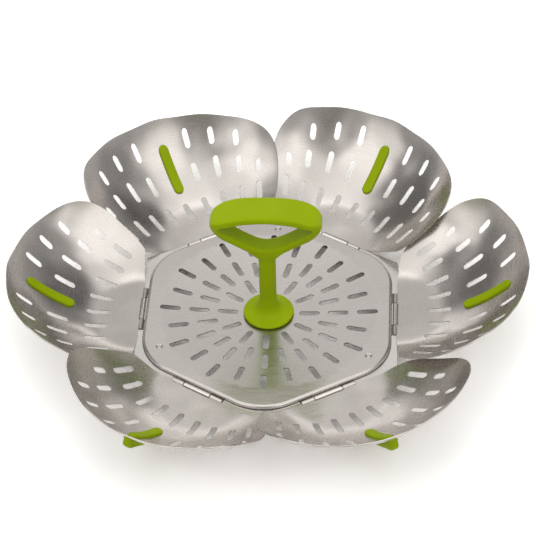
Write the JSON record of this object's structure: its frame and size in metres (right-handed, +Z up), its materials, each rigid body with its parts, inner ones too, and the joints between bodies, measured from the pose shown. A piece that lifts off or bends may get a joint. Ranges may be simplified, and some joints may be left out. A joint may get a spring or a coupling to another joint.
{
  "type": "folding steamer basket",
  "caption": "Perforated steel steamer basket with overlapping hinged leaves round a slotted plate, rubber feet through the leaves and a loop handle on a central stem.",
  "frame": {"origin": "on the basket's axis, at the level of the surface that the frame's collar stands on", "axes": "+Z up along the handle's stem; +X outwards across the hinge of petal_1, the other leaves following anticlockwise seen from above"},
  "size_m": [0.2668, 0.2542, 0.0804],
  "materials": {
    "sheet_steel": "fine brushed stainless sheet",
    "wire_steel": "drawn stainless",
    "green_rubber": "satin silicone rubber",
    "green_plastic": "satin moulded plastic"
  },
  "bodies": {
    "base": {"base_plate": "sheet_steel", "hinge_frame": "sheet_steel", "hinge_pin_1": "wire_steel", "hinge_pin_2": "wire_steel", "hinge_pin_3": "wire_steel", "hinge_pin_4": "wire_steel", "hinge_pin_5": "wire_steel", "hinge_pin_6": "wire_steel", "handle": "green_plastic", "handle_washer": "wire_steel", "handle_screw": "wire_steel"},
    "leaf_1": {"petal_1": "sheet_steel", "foot_1": "green_rubber"},
    "leaf_2": {"petal_2": "sheet_steel", "foot_2": "green_rubber"},
    "leaf_3": {"petal_3": "sheet_steel", "foot_3": "green_rubber"},
    "leaf_4": {"petal_4": "sheet_steel", "foot_4": "green_rubber"},
    "leaf_5": {"petal_5": "sheet_steel", "foot_5": "green_rubber"},
    "leaf_6": {"petal_6": "sheet_steel", "foot_6": "green_rubber"}
  },
  "joints": [
    {"name": "petal_1_fold", "type": "hinge", "parent": "base", "child": "leaf_1", "pos_m": [0.066, 0, 0.00685], "axis": [0, -1, 0], "range_deg": [0, 72]},
    {"name": "petal_2_fold", "type": "hinge", "parent": "base", "child": "leaf_2", "pos_m": [0.033, 0.05716, 0.00685], "axis": [0.866, -0.5, 0], "range_deg": [0, 72]},
    {"name": "petal_3_fold", "type": "hinge", "parent": "base", "child": "leaf_3", "pos_m": [-0.033, 0.05716, 0.00685], "axis": [0.866, 0.5, 0], "range_deg": [0, 72]},
    {"name": "petal_4_fold", "type": "hinge", "parent": "base", "child": "leaf_4", "pos_m": [-0.066, 0, 0.00685], "axis": [0, 1, 0], "range_deg": [0, 72]},
    {"name": "petal_5_fold", "type": "hinge", "parent": "base", "child": "leaf_5", "pos_m": [-0.033, -0.05716, 0.00685], "axis": [-0.866, 0.5, 0], "range_deg": [0, 72]},
    {"name": "petal_6_fold", "type": "hinge", "parent": "base", "child": "leaf_6", "pos_m": [0.033, -0.05716, 0.00685], "axis": [-0.866, -0.5, 0], "range_deg": [0, 72]}
  ],
  "couplings": [
    {"joint": "petal_2_fold", "follows": "petal_1_fold", "ratio": 1},
    {"joint": "petal_3_fold", "follows": "petal_1_fold", "ratio": 1},
    {"joint": "petal_4_fold", "follows": "petal_1_fold", "ratio": 1},
    {"joint": "petal_5_fold", "follows": "petal_1_fold", "ratio": 1},
    {"joint": "petal_6_fold", "follows": "petal_1_fold", "ratio": 1}
  ]
}
